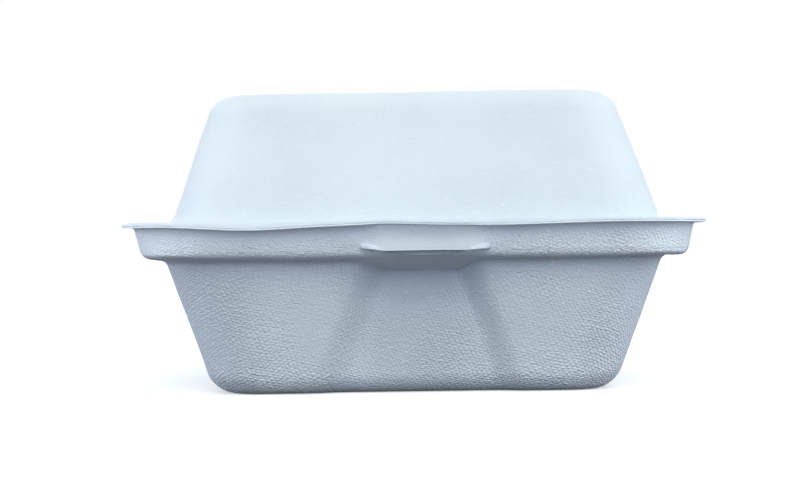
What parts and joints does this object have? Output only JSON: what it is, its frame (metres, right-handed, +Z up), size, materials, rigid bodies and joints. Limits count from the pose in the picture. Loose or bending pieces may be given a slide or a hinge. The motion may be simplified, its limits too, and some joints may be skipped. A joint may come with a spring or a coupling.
{
  "type": "burger box",
  "caption": "Square clamshell food box of pressed sugar-cane pulp: a flared tray with a finger recess, and a hinged lid whose tongue drops into a latch pocket at the front.",
  "frame": {"origin": "on the table under the middle of the tray, with the box closed", "axes": "+X right as the latch is faced, +Y from the latch to the fold behind, +Z up"},
  "size_m": [0.155, 0.155, 0.08],
  "materials": {
    "tray_pulp": "matt white pulp with the print of the wire screen on its outside",
    "lid_pulp": "matt white pulp, nearly smooth outside"
  },
  "bodies": {
    "tray": {"tray": "tray_pulp"},
    "lid": {"lid": "lid_pulp"}
  },
  "joints": [
    {"name": "lid_hinge", "type": "hinge", "parent": "tray", "child": "lid", "pos_m": [0, 0.0778, 0.045], "axis": [-1, 0, 0], "range_deg": [0, 180]}
  ]
}
